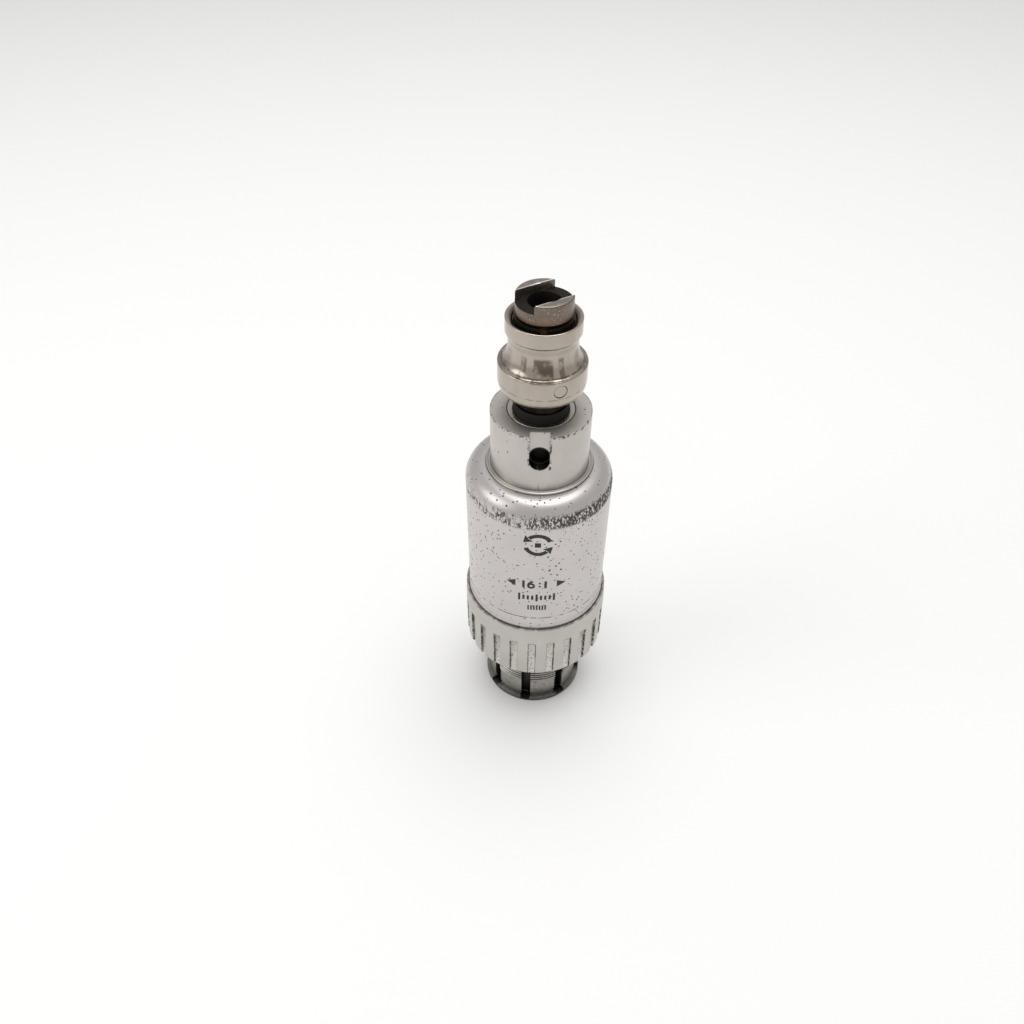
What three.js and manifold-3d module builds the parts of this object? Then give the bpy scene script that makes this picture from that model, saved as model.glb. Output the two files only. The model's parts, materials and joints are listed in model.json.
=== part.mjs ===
// Straight reducing drive for surgical and dental bits: a two-stage planetary reducer in a steel case.
// A slotted coupling sleeve with a knurled nut takes the motor at the bottom, and a quick-release
// collar on the output shaft takes a round-shank bit at the top. Millimetres, +Z up, base at Z 0.
import * as THREE from "three";
import { mergeVertices } from "three/addons/utils/BufferGeometryUtils.js";
import Module from "manifold-3d";

const wasm = await Module();
wasm.setup();
const { Manifold, Mesh } = wasm;
const TURN = Math.PI * 2;
const radians = (degrees) => (degrees * Math.PI) / 180;

// ---- Fits ----
const RUN = 0.1; // radial and end gap where one piece turns or slides in another
const SEAT = 0.04; // gap where a piece is pressed, glued or seated for good
const REST = 0.1; // gap between faces that rest on each other

// ---- Coupling sleeve at the base ----
const SLEEVE_R = 11.6;
const SLEEVE_BORE_R = 9.6;
const LIP_R = 12.3;
const LIP_TOP = 1.4;
const LIP_GROOVE = { r: 11.2, top: 2.4 };
const SLITS = { count: 8, width: 2.4, top: 22, turn: -8 }; // open at the base, so the sleeve has fingers
const SOCKET_TOP = 27; // roof of the motor socket
const LINER = { wall: 0.3, bottom: 0.4, top: 26.8 };

// ---- Knurled nut ----
// The nut's walls are measured out from the radius of the case.
const NUT = { bottom: 16.9, top: 34.6, bandWall: 0.8, landWall: 0.95, bandBottom: 31.8, chamfer: 0.9 };
const NUT_TRAVEL = 3;
const SKIRT = { bottom: 30, gap: 0.2 }; // the part of the nut that reaches over the case
const FLUTES = { count: 24, width: 1.8, depth: 0.5, top: 29.5, turn: -1 };
const FRICTION_RING = { height: 1.6, width: 1.3, drop: 1 };

// ---- Case ----
const CASE_R = 16;
const CASE_BOTTOM = SKIRT.bottom + NUT_TRAVEL + 0.2;
const CASE_TOP = 72.1;
const CASE_WALL = 1.8;
const SHOULDER_R = 4.3;

// ---- Nose ----
const NOSE_R = 10.5;
const NOSE_TOP = 85.9;
const NOSE_EDGE = 0.35;
const NOSE_FLANGE = { bottom: 63.6, top: 66.9, stepTop: 69.4 };
const LOCK_RING = { r: 11.6, rise: 0.5 };
const KEYWAY = { width: 4.2, depth: 2.2, bottom: 77.9 };
const KEYWAY_HOLE_R = 2.0;
const BUSH_HEIGHT = 7.9;
const SEAL = { rise: 2.0, height: 6.4 };

// ---- Output shaft and its socket ----
const SHAFT_R = 5.2;
const BUSH = { r: SHAFT_R + 1.8, bore: SHAFT_R + 0.6, height: BUSH_HEIGHT };
const SHAFT_TOP = 111.8;
const TOOL_BORE_R = 3.3;
const TOOL_BORE_BOTTOM = 80;
const DRIVE_SLOT = { halfWidth: 3.39, depth: 1.65, turn: 33.1 };
const SNAP_RING = { bottom: 106.5, height: 0.9, wall: 0.65, groove: 0.5 };
const SHAFT_TAIL_R = 4.0;

// ---- Quick-release collar ----
const COLLAR = { bottom: 91.2, top: 107.2, topR: 7.45, bottomR: 7.6, flangeR: 8.9, waistR: 6.85 };
const COLLAR_FLANGE = { bottom: 93.8, top: 97.7 };
const COLLAR_BAND_BOTTOM = 104.2;
const COLLAR_TRAVEL = 3.2;
const PIN = { r: 1.35, z: 95.5, turn: 24.2 };
const PLUNGER = { above: 2.4, below: 2.3 };
const BALL_R = 1.25;
const BALL = { z: 100, centre: SHAFT_R - 1.2, lift: 0.6 };
const SPRING = { wire: 0.35, coils: 5, sides: 5, steps: 8 };

// ---- Gear train: two equal stages in one ring gear ----
const MODULE = 0.65;
const TEETH = { sun: 12, planet: 12, ring: 36 };
const PLANETS = 3;
const BACKLASH = 0.12;
const ADDENDUM = 0.8;
const DEDENDUM = 1.25;
const PRESSURE = radians(25);
const GEAR_WIDTH = 5.4;
const PLANET_PIN_R = 1.2;
const RING_GEAR = { bottom: 42, top: 60.5 };
const STAGES = [42.9, 53.4]; // bottom of the planets in each stage
const FIRST_PLATE = { r: 10.2, bottom: 49.1, top: 52 };
const SECOND_PLATE = { r: 10.4, bottom: 59.6, top: 63 };
const RETAINER = { bore: 7.7, bottom: 63.2 };
const SUN_STUB_R = 1.9;

// ---- Input shaft ----
const INPUT = { r: 2.6, tipR: 1.5, bottom: 25.3, step: 40.9 };
const COUPLING = { r: 6, bottom: 21.5, top: 27.5 };
const TANG_SLOT = { width: 3.2, depth: 3.6 };
const WEB_TOP = 41;

// ---- Ball bearings: bore, outside and height of each ----
const BEARING_BALLS = 7;
const OUTPUT_BEARING = { bore: SHAFT_R + SEAT, r: 8.8, height: 4 };
const OUTPUT_BEARINGS = { rear: 63.7, front: 73.7 };
const INPUT_BEARING = { bore: INPUT.r + SEAT, r: 6.4, height: 3.6, bottom: 35.6 };

// ---- Facets ----
const ROUND = 28;
const SMALL = 12;

// ================= Solids =================

// A closed three.js geometry as a solid, without the triangles that a pole or a seam collapses.
function solid(geometry) {
  const bare = new THREE.BufferGeometry().setAttribute("position", geometry.getAttribute("position"));
  bare.setIndex(geometry.index);
  const merged = mergeVertices(bare, 1e-4);
  const index = merged.index.array;
  const kept = [];
  for (let i = 0; i < index.length; i += 3) {
    const [a, b, c] = [index[i], index[i + 1], index[i + 2]];
    if (a !== b && b !== c && a !== c) kept.push(a, b, c);
  }
  const vertProperties = new Float32Array(merged.getAttribute("position").array);
  return new Manifold(new Mesh({ numProp: 3, vertProperties, triVerts: new Uint32Array(kept) }));
}

function geometryOf(manifold) {
  const mesh = manifold.getMesh();
  const geometry = new THREE.BufferGeometry();
  geometry.setAttribute("position", new THREE.BufferAttribute(mesh.vertProperties.slice(), 3));
  geometry.setIndex(new THREE.BufferAttribute(mesh.triVerts.slice(), 1));
  geometry.computeVertexNormals();
  return geometry;
}

// Turns a profile of [radius, height] points, listed anticlockwise, about Z.
function turned(profile, facets = ROUND) {
  const onAxis = profile[0][0] === 0 && profile.at(-1)[0] === 0;
  const points = (onAxis ? profile : [...profile, profile[0]]).map(([r, z]) => new THREE.Vector2(r, z));
  return solid(new THREE.LatheGeometry(points, facets).rotateX(Math.PI / 2));
}

const rod = (r, bottom, top, facets = ROUND) =>
  turned([[0, bottom], [r, bottom], [r, top], [0, top]], facets);

const tube = (bore, r, bottom, top, facets = ROUND) =>
  turned([[bore, bottom], [r, bottom], [r, top], [bore, top]], facets);

function block(width, depth, bottom, top, x = 0, y = 0) {
  const box = new THREE.BoxGeometry(width, depth, top - bottom);
  return solid(box.translate(x, y, (bottom + top) / 2));
}

function ball(r, x, y, z, detail = 1) {
  return solid(new THREE.OctahedronGeometry(r, detail).translate(x, y, z));
}

// A round bar lying along X, centred on the axis at height z.
function crossBar(r, length, z, facets = SMALL) {
  return solid(new THREE.CylinderGeometry(r, r, length, facets).rotateZ(Math.PI / 2).translate(0, 0, z));
}

// Points of an arc in a profile, from one angle to another in degrees.
function arc(r, z, radius, from, to, steps) {
  return Array.from({ length: steps + 1 }, (_, i) => {
    const angle = radians(from + ((to - from) * i) / steps);
    return [r + radius * Math.cos(angle), z + radius * Math.sin(angle)];
  });
}

const turn = (piece, degrees) => piece.rotate([0, 0, degrees]);
const sum = (pieces) => pieces.reduce((whole, piece) => whole.add(piece));

// ================= Gears =================

// The outline of an involute gear with its teeth made thicker or thinner at the pitch circle.
function gearOutline(teeth, addendum, dedendum, thicker) {
  const pitchR = (MODULE * teeth) / 2;
  const baseR = pitchR * Math.cos(PRESSURE);
  const tipR = pitchR + addendum * MODULE;
  const rootR = pitchR - dedendum * MODULE;
  const involute = (r) => (r > baseR ? Math.tan(Math.acos(baseR / r)) - Math.acos(baseR / r) : 0);
  const halfAtPitch = (Math.PI * MODULE) / 2 / 2 + thicker / 2;
  const halfAngle = (r) => halfAtPitch / pitchR + involute(pitchR) - involute(r);
  const radii = [rootR, pitchR, tipR];
  const points = [];
  for (let tooth = 0; tooth < teeth; tooth++) {
    const centre = (tooth * TURN) / teeth;
    for (const r of radii) points.push([r, centre - halfAngle(r)]);
    for (const r of [...radii].reverse()) points.push([r, centre + halfAngle(r)]);
  }
  return points.map(([r, angle]) => new THREE.Vector2(r * Math.cos(angle), r * Math.sin(angle)));
}

function gear(teeth, bottom) {
  const shape = new THREE.Shape(gearOutline(teeth, ADDENDUM, DEDENDUM, -BACKLASH));
  const body = solid(new THREE.ExtrudeGeometry(shape, { depth: GEAR_WIDTH, bevelEnabled: false, steps: 1 }));
  return body.translate([0, 0, bottom]);
}

function ringGear() {
  const space = new THREE.Shape(gearOutline(TEETH.ring, DEDENDUM, ADDENDUM, BACKLASH));
  const height = RING_GEAR.top - RING_GEAR.bottom;
  const cut = solid(new THREE.ExtrudeGeometry(space, { depth: height + 2, bevelEnabled: false, steps: 1 }));
  const halfTooth = 360 / TEETH.ring / 2; // puts a tooth where each planet has a space
  const blank = rod(CASE_R - CASE_WALL - SEAT, RING_GEAR.bottom, RING_GEAR.top);
  return blank.subtract(turn(cut, halfTooth).translate([0, 0, RING_GEAR.bottom - 1]));
}

const ORBIT_R = (MODULE * (TEETH.sun + TEETH.planet)) / 2;
const planetAngle = (i) => (i * 360) / PLANETS;

// A planet turned on its own pin so that its teeth mesh with the sun and the ring.
function planet(i, bottom) {
  const at = planetAngle(i);
  const phase = 0.5 - (at * TEETH.sun) / 360;
  const spin = at + 180 - (360 * phase) / TEETH.planet;
  const [x, y] = [ORBIT_R * Math.cos(radians(at)), ORBIT_R * Math.sin(radians(at))];
  const bore = rod(PLANET_PIN_R + RUN, bottom - 1, bottom + GEAR_WIDTH + 1, SMALL);
  return turn(gear(TEETH.planet, bottom).subtract(bore), spin).translate([x, y, 0]);
}

const planetPins = (r, bottom, top) =>
  Array.from({ length: PLANETS }, (_, i) =>
    turn(rod(r, bottom, top, SMALL).translate([ORBIT_R, 0, 0]), planetAngle(i)));

// ================= Bearings =================

function bearing({ bore, r, height }, bottom) {
  const ballR = Math.min(height * 0.3, (r - bore) * 0.26);
  const pitchR = (bore + r) / 2;
  const faceGap = ballR * 0.75;
  const track = ballR + RUN;
  const top = bottom + height;
  const middle = (bottom + top) / 2;
  // Each race has a V-shaped track, deepest at the middle of the balls.
  const inner = turned([
    [bore, bottom],
    [pitchR - faceGap, bottom],
    [pitchR - track, middle],
    [pitchR - faceGap, top],
    [bore, top],
  ]);
  const outer = turned([
    [r, bottom],
    [r, top],
    [pitchR + faceGap, top],
    [pitchR + track, middle],
    [pitchR + faceGap, bottom],
  ]);
  const cageHalf = faceGap * 0.5;
  const cage = tube(pitchR - cageHalf, pitchR + cageHalf, middle - ballR * 0.8, middle + ballR * 0.8, ROUND);
  const balls = Array.from({ length: BEARING_BALLS }, (_, i) =>
    turn(ball(ballR, pitchR, 0, middle), (i * 360) / BEARING_BALLS));
  return { inner, outer, cage: sum([cage, ...balls]) };
}

// The open ring that snaps into the groove near the top of the shaft and stops the collar.
function snapRing() {
  const { bottom, height, wall, groove } = SNAP_RING;
  const r = SHAFT_R + wall;
  const ring = tube(SHAFT_R - groove + SEAT, r, bottom, bottom + height);
  return ring.subtract(block(1.6, r * 2, bottom - 1, bottom + height + 1, 0, -r));
}

// ================= Case, sleeve and nut =================

function couplingSleeve() {
  const flangeR = CASE_R - CASE_WALL - SEAT;
  const seatR = INPUT_BEARING.r + SEAT;
  const shaftHoleR = INPUT.r + 1.2;
  let sleeve = turned([
    [SLEEVE_BORE_R, 0],
    [LIP_R - 0.2, 0],
    [LIP_R, 0.2],
    [LIP_R, LIP_TOP],
    [LIP_GROOVE.r, LIP_TOP],
    [LIP_GROOVE.r, LIP_GROOVE.top],
    [SLEEVE_R, LIP_GROOVE.top],
    [SLEEVE_R, CASE_BOTTOM],
    [flangeR, CASE_BOTTOM],
    [flangeR, WEB_TOP],
    [seatR, WEB_TOP],
    [seatR, INPUT_BEARING.bottom - REST],
    [shaftHoleR, INPUT_BEARING.bottom - REST],
    [shaftHoleR, COUPLING.top + 1],
    [SLEEVE_BORE_R, SOCKET_TOP],
  ]);
  for (let i = 0; i < SLITS.count; i++) {
    const cut = block(SLITS.width, SLEEVE_R, -1, SLITS.top, 0, -SLEEVE_R);
    sleeve = sleeve.subtract(turn(cut, SLITS.turn + (i * 360) / SLITS.count));
  }
  return sleeve;
}

const socketLiner = () =>
  tube(SLEEVE_BORE_R - SEAT - LINER.wall, SLEEVE_BORE_R - SEAT, LINER.bottom, LINER.top);

const frictionTop = SKIRT.bottom - FRICTION_RING.drop;

function couplingNut() {
  const bore = SLEEVE_R + RUN;
  const skirtR = CASE_R + SKIRT.gap;
  const pocketR = bore + FRICTION_RING.width + RUN;
  const pocketBottom = frictionTop - FRICTION_RING.height - REST;
  let nut = turned([
    [bore, NUT.bottom],
    [(CASE_R + NUT.landWall) - NUT.chamfer, NUT.bottom],
    [(CASE_R + NUT.landWall), NUT.bottom + NUT.chamfer],
    [(CASE_R + NUT.landWall), NUT.bandBottom - 0.6],
    [(CASE_R + NUT.bandWall), NUT.bandBottom],
    [(CASE_R + NUT.bandWall), NUT.top],
    [skirtR, NUT.top],
    [skirtR, SKIRT.bottom],
    [bore, SKIRT.bottom],
    [bore, frictionTop + REST],
    [pocketR, frictionTop + REST],
    [pocketR, pocketBottom],
    [bore, pocketBottom],
  ]);
  const outward = FLUTES.depth * 2;
  for (let i = 0; i < FLUTES.count; i++) {
    const centre = -((CASE_R + NUT.landWall) - FLUTES.depth + outward / 2);
    const cut = block(FLUTES.width, outward, NUT.bottom - 1, FLUTES.top, 0, centre);
    nut = nut.subtract(turn(cut, FLUTES.turn + (i * 360) / FLUTES.count));
  }
  return nut;
}

function frictionRing() {
  const bore = SLEEVE_R + RUN / 2;
  return tube(bore, bore + FRICTION_RING.width, frictionTop - FRICTION_RING.height, frictionTop);
}

function caseShell() {
  const inner = CASE_R - CASE_WALL;
  const mouth = LOCK_RING.r + SEAT;
  return turned([
    [inner, CASE_BOTTOM],
    [CASE_R, CASE_BOTTOM],
    ...arc(CASE_R - SHOULDER_R, CASE_TOP - SHOULDER_R, SHOULDER_R, 0, 90, 5),
    [mouth, CASE_TOP],
    [mouth, NOSE_FLANGE.top + REST],
    [inner, NOSE_FLANGE.top + REST],
  ]);
}

const plateR = CASE_R - CASE_WALL - SEAT;

const thrustPlate = () => tube(INPUT.r + 1.2, plateR, WEB_TOP + SEAT, RING_GEAR.bottom - SEAT);

// Clears the output carrier, and its lip holds the rear bearing in the nose.
const bearingRetainer = () =>
  turned([
    [SECOND_PLATE.r + 2, RING_GEAR.top + SEAT],
    [plateR, RING_GEAR.top + SEAT],
    [plateR, NOSE_FLANGE.bottom - SEAT],
    [RETAINER.bore, NOSE_FLANGE.bottom - SEAT],
    [RETAINER.bore, RETAINER.bottom],
    [SECOND_PLATE.r + 2, RETAINER.bottom],
  ]);

function bearingSpacer() {
  const bottom = OUTPUT_BEARINGS.rear + OUTPUT_BEARING.height + SEAT;
  return tube(OUTPUT_BEARING.r - 1.1, OUTPUT_BEARING.r, bottom, OUTPUT_BEARINGS.front - SEAT);
}

const noseBoreR = OUTPUT_BEARING.r + SEAT;
const frontBearingTop = OUTPUT_BEARINGS.front + OUTPUT_BEARING.height;

function noseHousing() {
  const flangeR = CASE_R - CASE_WALL - SEAT;
  let nose = turned([
    [noseBoreR, NOSE_FLANGE.bottom],
    [flangeR, NOSE_FLANGE.bottom],
    [flangeR, NOSE_FLANGE.top],
    [LOCK_RING.r, NOSE_FLANGE.top],
    [LOCK_RING.r, NOSE_FLANGE.stepTop],
    [NOSE_R, NOSE_FLANGE.stepTop],
    [NOSE_R, NOSE_TOP - NOSE_EDGE],
    [NOSE_R - NOSE_EDGE, NOSE_TOP],
    [BUSH.r + SEAT, NOSE_TOP],
    [BUSH.r + SEAT, frontBearingTop + REST],
    [noseBoreR, frontBearingTop + REST],
  ]);
  const halfWidth = KEYWAY.width / 2;
  const holeZ = KEYWAY.bottom + halfWidth;
  const floorY = -(NOSE_R - KEYWAY.depth);
  const slot = block(KEYWAY.width, KEYWAY.depth * 2, holeZ, NOSE_TOP + 1, 0, floorY - KEYWAY.depth);
  const roundEnd = solid(new THREE.CylinderGeometry(halfWidth, halfWidth, KEYWAY.depth * 2, SMALL)
    .translate(0, floorY - KEYWAY.depth, holeZ));
  nose = nose.subtract(slot).subtract(roundEnd);
  const reach = NOSE_R - BUSH.r - KEYWAY.depth;
  const hole = solid(new THREE.CylinderGeometry(KEYWAY_HOLE_R, KEYWAY_HOLE_R, reach * 2, SMALL)
    .translate(0, floorY, holeZ));
  return nose.subtract(hole);
}

const lockRing = () =>
  turned([
    [NOSE_R + SEAT, NOSE_FLANGE.stepTop + SEAT],
    [LOCK_RING.r - SEAT, NOSE_FLANGE.stepTop + SEAT],
    [LOCK_RING.r - SEAT, CASE_TOP + LOCK_RING.rise - 0.3],
    [LOCK_RING.r - SEAT - 0.3, CASE_TOP + LOCK_RING.rise],
    [NOSE_R + SEAT, CASE_TOP + LOCK_RING.rise],
  ]);

const noseBush = () => tube(BUSH.bore, BUSH.r, NOSE_TOP - BUSH.height, NOSE_TOP);

function wiperSeal() {
  const top = NOSE_TOP + SEAL.rise;
  const bore = SHAFT_R + RUN;
  return turned([
    [bore, top - SEAL.height],
    [BUSH.bore - SEAT, top - SEAL.height],
    [BUSH.bore - SEAT, top - 0.2],
    [bore + 0.2, top],
    [bore, top],
  ]);
}

// ================= Turning parts =================

function outputShaft() {
  const clipBottom = SNAP_RING.bottom - SEAT;
  const clipTop = SNAP_RING.bottom + SNAP_RING.height + SEAT;
  const grooveR = SHAFT_R - SNAP_RING.groove;
  let shaft = turned([
    [0, SECOND_PLATE.bottom + REST],
    [SHAFT_TAIL_R, SECOND_PLATE.bottom + REST],
    [SHAFT_TAIL_R, SECOND_PLATE.top + REST],
    [SHAFT_R, SECOND_PLATE.top + REST],
    [SHAFT_R, clipBottom],
    [grooveR, clipBottom],
    [grooveR, clipTop],
    [SHAFT_R, clipTop],
    [SHAFT_R, SHAFT_TOP - 0.2],
    [SHAFT_R - 0.2, SHAFT_TOP],
    [TOOL_BORE_R, SHAFT_TOP],
    [TOOL_BORE_R, TOOL_BORE_BOTTOM],
    [0, TOOL_BORE_BOTTOM],
  ], ROUND);
  const slot = block(SHAFT_R * 3, DRIVE_SLOT.halfWidth * 2, SHAFT_TOP - DRIVE_SLOT.depth, SHAFT_TOP + 1);
  const pinSlotBottom = PIN.z - COLLAR_TRAVEL;
  const width = (PIN.r + RUN) * 2;
  const pinSlot = sum([
    block(SHAFT_R * 3, width, pinSlotBottom, PIN.z),
    crossBar(PIN.r + RUN, SHAFT_R * 3, pinSlotBottom),
    crossBar(PIN.r + RUN, SHAFT_R * 3, PIN.z),
  ]);
  shaft = shaft.subtract(turn(slot, DRIVE_SLOT.turn)).subtract(turn(pinSlot, PIN.turn - 90));
  return shaft.subtract(turn(crossBar(BALL_R + RUN / 2, SHAFT_R * 3, BALL.z), PIN.turn));
}

function releaseCollar() {
  const bore = SHAFT_R + RUN;
  const lipBottom = SNAP_RING.bottom - 1.3;
  const rampTop = lipBottom - 0.6;
  const rampR = bore + (BALL.lift / COLLAR_TRAVEL) * (rampTop - BALL.z);
  const pocketR = SHAFT_R + SNAP_RING.wall + 0.2;
  const waistZ = COLLAR_BAND_BOTTOM - 2.0;
  const collar = turned([
    [bore, COLLAR.bottom],
    [COLLAR.bottomR, COLLAR.bottom],
    [COLLAR.flangeR, COLLAR_FLANGE.bottom],
    [COLLAR.flangeR, COLLAR_FLANGE.top],
    [(COLLAR.flangeR + COLLAR.waistR) / 2 - 0.15, (COLLAR_FLANGE.top + waistZ) / 2 - 0.5],
    [COLLAR.waistR + 0.3, waistZ - 1.5],
    [COLLAR.waistR, waistZ],
    [COLLAR.waistR + 0.2, waistZ + 1.1],
    [COLLAR.topR, COLLAR_BAND_BOTTOM],
    [COLLAR.topR, COLLAR.top - 0.2],
    [COLLAR.topR - 0.2, COLLAR.top],
    [pocketR, SNAP_RING.bottom + 0.1],
    [pocketR, SNAP_RING.bottom - REST],
    [bore, SNAP_RING.bottom - REST],
    [bore, lipBottom],
    [rampR, rampTop],
    [bore, BALL.z],
  ]);
  const hole = crossBar(PIN.r + SEAT, COLLAR.flangeR * 3, PIN.z);
  return collar.subtract(turn(hole, PIN.turn - 90));
}

const crossPin = () => turn(crossBar(PIN.r, (COLLAR.flangeR - 0.1) * 2, PIN.z), PIN.turn - 90);

function plunger() {
  const body = rod(TOOL_BORE_R - RUN, PIN.z - PLUNGER.below, PIN.z + PLUNGER.above, ROUND);
  return body.subtract(turn(crossBar(PIN.r + SEAT, SHAFT_R * 3, PIN.z), PIN.turn - 90));
}

// A coil spring under the plunger.
function releaseSpring() {
  const r = TOOL_BORE_R - RUN - SPRING.wire - 0.1;
  const bottom = TOOL_BORE_BOTTOM + SPRING.wire + REST;
  const top = PIN.z - PLUNGER.below - SPRING.wire - REST;
  class Helix extends THREE.Curve {
    getPoint(t) {
      const angle = t * SPRING.coils * TURN;
      return new THREE.Vector3(r * Math.cos(angle), r * Math.sin(angle), bottom + (top - bottom) * t);
    }
  }
  const section = new THREE.Shape(Array.from({ length: SPRING.sides }, (_, i) => {
    const angle = (i * TURN) / SPRING.sides;
    return new THREE.Vector2(SPRING.wire * Math.cos(angle), SPRING.wire * Math.sin(angle));
  }));
  const steps = SPRING.coils * SPRING.steps;
  return solid(new THREE.ExtrudeGeometry(section, { steps, extrudePath: new Helix(), bevelEnabled: false }));
}

// side is 1 or -1, for the two balls across the shaft.
const lockBall = (side) =>
  turn(ball(BALL_R, side * BALL.centre, 0, BALL.z, 2), PIN.turn);

function planetPlate(plate, boreR) {
  const body = tube(boreR, plate.r, plate.bottom, plate.top, ROUND);
  const holes = planetPins(PLANET_PIN_R + SEAT, plate.bottom - 1, plate.top + 1);
  return holes.reduce((whole, hole) => whole.subtract(hole), body);
}

function firstSun() {
  const bore = rod(INPUT.tipR + SEAT, STAGES[0] - 1, STAGES[0] + GEAR_WIDTH + 1);
  return gear(TEETH.sun, STAGES[0]).subtract(bore);
}

// The second sun gear stands on a stub that is pressed into the first carrier plate.
function sunWithStub() {
  const toothed = gear(TEETH.sun, STAGES[1]);
  const stub = rod(SUN_STUB_R, FIRST_PLATE.bottom, STAGES[1], SMALL);
  return toothed.add(stub);
}

function inputShaft() {
  return turned([
    [0, INPUT.bottom],
    [INPUT.r, INPUT.bottom],
    [INPUT.r, INPUT.step],
    [INPUT.tipR, INPUT.step],
    [INPUT.tipR, STAGES[0] + GEAR_WIDTH],
    [0, STAGES[0] + GEAR_WIDTH],
  ], ROUND);
}

function inputCoupling() {
  const body = rod(COUPLING.r, COUPLING.bottom, COUPLING.top, ROUND);
  const bore = rod(INPUT.r + SEAT, INPUT.bottom - SEAT, COUPLING.top + 1, ROUND);
  const slotTop = COUPLING.bottom + TANG_SLOT.depth;
  const tang = block(COUPLING.r * 3, TANG_SLOT.width, COUPLING.bottom - 1, slotTop);
  return body.subtract(bore).subtract(tang);
}

// ================= Assembly =================

const COLOURS = {
  case_steel: [0xc9c6c2, 0.35, 0.9],
  bright_steel: [0xb8b0a6, 0.2, 1],
  shaft_steel: [0x8d8074, 0.3, 1],
  gear_steel: [0x77797c, 0.35, 1],
  black_steel: [0x2a2826, 0.5, 0.8],
  race_steel: [0xbfc2c6, 0.15, 1],
  seal_rubber: [0x1c1b1a, 0.8, 0],
};

const root = new THREE.Group();

function place(name, manifold, colour) {
  const [color, roughness, metalness] = COLOURS[colour];
  const material = new THREE.MeshStandardMaterial({ color, roughness, metalness });
  const mesh = new THREE.Mesh(geometryOf(manifold), material);
  mesh.name = name;
  root.add(mesh);
}

function placeBearing(name, size, bottom) {
  const { inner, outer, cage } = bearing(size, bottom);
  place(`${name}_inner_race`, inner, "race_steel");
  place(`${name}_outer_race`, outer, "race_steel");
  place(`${name}_ball_cage`, cage, "race_steel");
}

place("case_shell", caseShell(), "case_steel");
place("coupling_sleeve", couplingSleeve(), "black_steel");
place("socket_liner", socketLiner(), "black_steel");
place("coupling_nut", couplingNut(), "case_steel");
place("nut_slip_ring", frictionRing(), "seal_rubber");
place("nose_housing", noseHousing(), "case_steel");
place("nose_lock_ring", lockRing(), "case_steel");
place("nose_bush", noseBush(), "bright_steel");
place("wiper_seal", wiperSeal(), "seal_rubber");

place("ring_gear", ringGear(), "gear_steel");
place("gear_thrust_plate", thrustPlate(), "bright_steel");
place("bearing_retainer", bearingRetainer(), "bright_steel");
place("bearing_spacer", bearingSpacer(), "bright_steel");
placeBearing("rear_output_bearing", OUTPUT_BEARING, OUTPUT_BEARINGS.rear);
placeBearing("front_output_bearing", OUTPUT_BEARING, OUTPUT_BEARINGS.front);
placeBearing("input_bearing", INPUT_BEARING, INPUT_BEARING.bottom);

place("input_shaft", inputShaft(), "shaft_steel");
place("input_coupling", inputCoupling(), "black_steel");
place("first_sun_gear", firstSun(), "gear_steel");
place("first_carrier_plate", planetPlate(FIRST_PLATE, SUN_STUB_R + SEAT), "bright_steel");
place("second_sun_gear", sunWithStub(), "gear_steel");
place("output_carrier_plate", planetPlate(SECOND_PLATE, SHAFT_TAIL_R + SEAT), "bright_steel");
const carriers = [["first", STAGES[0], FIRST_PLATE], ["second", STAGES[1], SECOND_PLATE]];
for (const [stage, bottom, plate] of carriers) {
  planetPins(PLANET_PIN_R, bottom, plate.top).forEach((pin, i) =>
    place(`${stage}_planet_pin_${i + 1}`, pin, "bright_steel"));
  for (let i = 0; i < PLANETS; i++) {
    place(`${stage}_planet_gear_${i + 1}`, planet(i, bottom), "gear_steel");
  }
}

place("output_shaft", outputShaft(), "shaft_steel");
place("shaft_snap_ring", snapRing(), "black_steel");
place("release_collar", releaseCollar(), "bright_steel");
place("cross_pin", crossPin(), "bright_steel");
place("ejector_plunger", plunger(), "bright_steel");
place("release_spring", releaseSpring(), "bright_steel");
place("lock_ball_1", lockBall(1), "race_steel");
place("lock_ball_2", lockBall(-1), "race_steel");

export default root;
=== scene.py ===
import json
from math import cos, pi, radians, sin
import bmesh
import bpy
from mathutils import Matrix, Vector

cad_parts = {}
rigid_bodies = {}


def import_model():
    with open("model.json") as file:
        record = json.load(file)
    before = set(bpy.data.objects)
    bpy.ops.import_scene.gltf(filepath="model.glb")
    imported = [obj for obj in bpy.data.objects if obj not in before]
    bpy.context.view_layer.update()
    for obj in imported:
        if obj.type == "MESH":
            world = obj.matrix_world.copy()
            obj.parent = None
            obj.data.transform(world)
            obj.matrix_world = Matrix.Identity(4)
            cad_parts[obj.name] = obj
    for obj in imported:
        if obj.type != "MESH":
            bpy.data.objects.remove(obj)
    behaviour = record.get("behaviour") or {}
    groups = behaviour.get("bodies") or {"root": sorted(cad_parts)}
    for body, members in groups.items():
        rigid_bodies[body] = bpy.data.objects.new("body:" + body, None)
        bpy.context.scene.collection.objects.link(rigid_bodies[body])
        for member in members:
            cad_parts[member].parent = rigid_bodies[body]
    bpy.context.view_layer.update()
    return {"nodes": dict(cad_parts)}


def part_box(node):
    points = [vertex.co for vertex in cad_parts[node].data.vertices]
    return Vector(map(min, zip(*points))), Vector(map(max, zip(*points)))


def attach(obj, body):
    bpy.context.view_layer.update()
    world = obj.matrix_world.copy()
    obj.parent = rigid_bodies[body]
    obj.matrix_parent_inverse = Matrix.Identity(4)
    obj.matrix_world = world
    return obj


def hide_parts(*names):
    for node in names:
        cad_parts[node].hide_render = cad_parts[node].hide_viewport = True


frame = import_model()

MM = 0.001
TURN = 2 * pi

# ---- Heights of the main pieces, in millimetres, read from the frame ----


def span(node):
    """Lowest and highest Z of a CAD node, in millimetres."""
    low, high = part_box(node)
    return low.z / MM, high.z / MM


def radius(node):
    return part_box(node)[1].x / MM


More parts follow.
